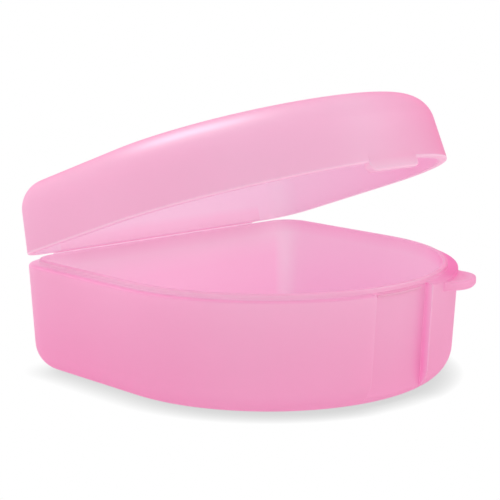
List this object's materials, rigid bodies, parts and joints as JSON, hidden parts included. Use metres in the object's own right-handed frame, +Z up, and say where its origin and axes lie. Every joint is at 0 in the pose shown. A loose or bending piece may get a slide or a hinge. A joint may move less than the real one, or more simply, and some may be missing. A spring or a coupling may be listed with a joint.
{
  "type": "orthodontic retainer case",
  "caption": "Hinged D-shaped plastic case for a dental retainer: deep tray with locating lip, finger ear and latch recess, and a shallow lid with a latch tab on a living hinge.",
  "frame": {"origin": "on the base's resting face, midway across the width and the depth of the shoulder", "axes": "+X along the hinge to the side with the finger ear, -Y to the front with the latch, +Z up"},
  "size_m": [0.08, 0.0775, 0.0601],
  "materials": {
    "base_plastic": "translucent pink polypropylene, satin, thick wall",
    "hinge_plastic": "translucent pink polypropylene, satin, thin web",
    "lid_plastic": "translucent pink polypropylene, satin, thin wall"
  },
  "bodies": {
    "base": {"base_shell": "base_plastic", "base_rim_lip": "base_plastic", "finger_ear": "base_plastic", "latch_catch": "base_plastic", "base_hinge_leaf": "base_plastic", "hinge_web": "hinge_plastic"},
    "lid": {"lid_shell": "lid_plastic", "latch_tab": "lid_plastic", "latch_bead": "lid_plastic", "lid_hinge_leaf": "lid_plastic"}
  },
  "joints": [
    {"name": "lid_hinge", "type": "hinge", "parent": "base", "child": "lid", "pos_m": [0, 0.0387, 0.02315], "axis": [-1, 0, 0], "range_deg": [-19, 161], "deforming": ["hinge_web"]}
  ]
}
